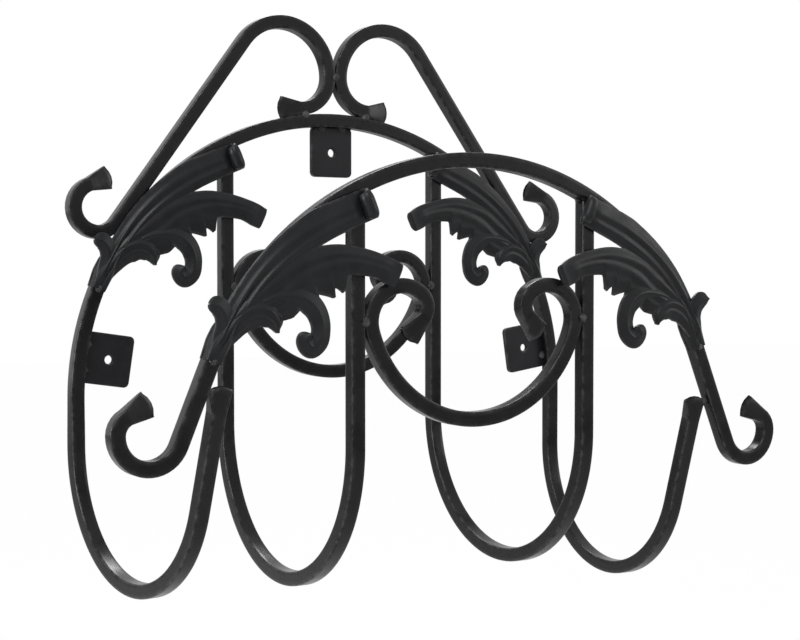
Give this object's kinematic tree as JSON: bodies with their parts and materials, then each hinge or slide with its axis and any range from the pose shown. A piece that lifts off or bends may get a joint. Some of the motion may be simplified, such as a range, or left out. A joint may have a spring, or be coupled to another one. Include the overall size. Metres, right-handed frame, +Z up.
{
  "type": "wall wine rack",
  "caption": "Black wrought-iron wall rack: arched back and front frames joined by U-shaped hooks that cradle bottles, with C-scrolls, tall crest scrolls and pressed leaves.",
  "frame": {"origin": "on the wall's face, midway between the two side screw holes", "axes": "+X along the wall to the viewer's right, +Y into the wall, +Z up"},
  "size_m": [0.4189, 0.1752, 0.3462],
  "materials": {
    "iron_bar": "satin black paint",
    "pressed_leaf": "satin black paint",
    "wall_plate": "satin black paint",
    "weld": "satin black paint over rough weld metal"
  },
  "bodies": {
    "root": {"back_arch_bar": "iron_bar", "front_arch_bar": "iron_bar", "left_cradle_hook": "iron_bar", "right_cradle_hook": "iron_bar", "back_c_scroll": "iron_bar", "front_c_scroll": "iron_bar", "left_crest_scroll": "iron_bar", "right_crest_scroll": "iron_bar", "back_left_leaf": "pressed_leaf", "back_right_leaf": "pressed_leaf", "front_left_leaf": "pressed_leaf", "front_right_leaf": "pressed_leaf", "top_wall_plate": "wall_plate", "left_wall_plate": "wall_plate", "right_wall_plate": "wall_plate", "crest_weld_beads": "weld", "hook_top_weld_beads": "weld", "hook_tip_weld_beads": "weld", "scroll_weld_beads": "weld", "plate_weld_beads": "weld", "leaf_weld_beads": "weld"}
  },
  "joints": []
}
